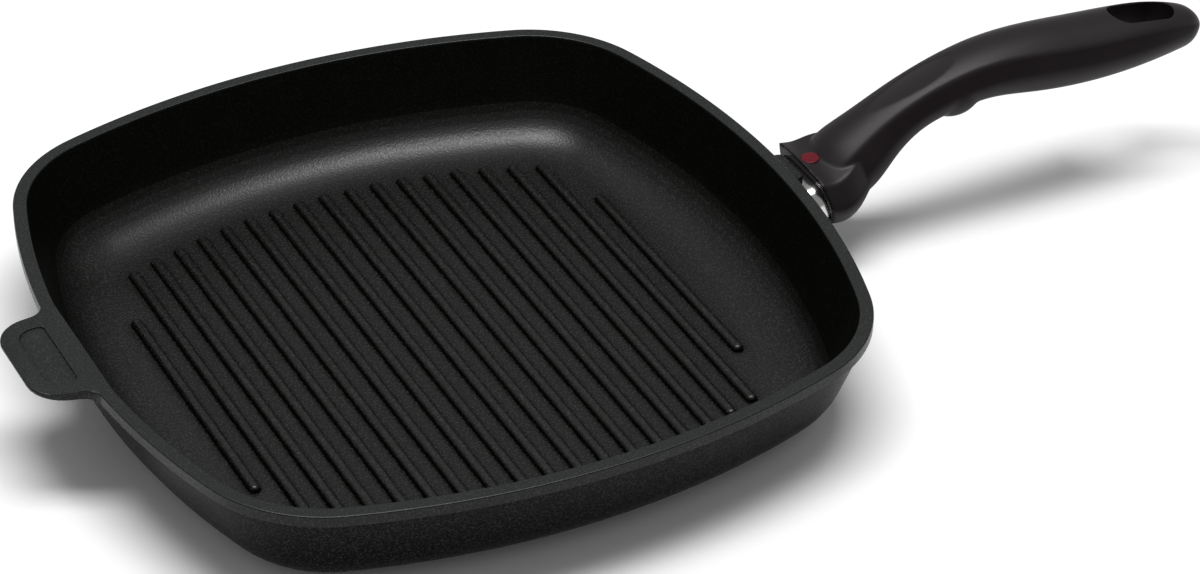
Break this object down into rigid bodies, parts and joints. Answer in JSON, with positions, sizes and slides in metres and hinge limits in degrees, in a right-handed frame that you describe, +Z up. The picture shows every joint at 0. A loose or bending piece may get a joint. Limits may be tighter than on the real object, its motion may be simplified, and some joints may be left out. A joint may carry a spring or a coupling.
{
  "type": "grill pan",
  "caption": "Square grill pan with a ribbed non-stick floor, rounded corners, a small lifting lug and a raised moulded handle with a steel flame guard and a hanging hole.",
  "frame": {"origin": "centre of the pan's base on the surface that it stands on", "axes": "+X from the pan's centre along the handle, +Y across the handle, +Z up"},
  "size_m": [0.4858, 0.28, 0.0716],
  "materials": {
    "cast_coating": "matte speckled non-stick coating",
    "guard_steel": "polished stainless steel",
    "handle_plastic": "satin warm black phenolic",
    "dot_enamel": "glossy red",
    "fastener_steel": "zinc plated"
  },
  "bodies": {
    "root": {"pan_body": "cast_coating", "flame_guard": "guard_steel", "handle_grip": "handle_plastic", "accent_dot": "dot_enamel", "thread_insert": "fastener_steel", "flat_washer": "fastener_steel", "spring_washer": "fastener_steel", "handle_screw": "fastener_steel"}
  },
  "joints": []
}
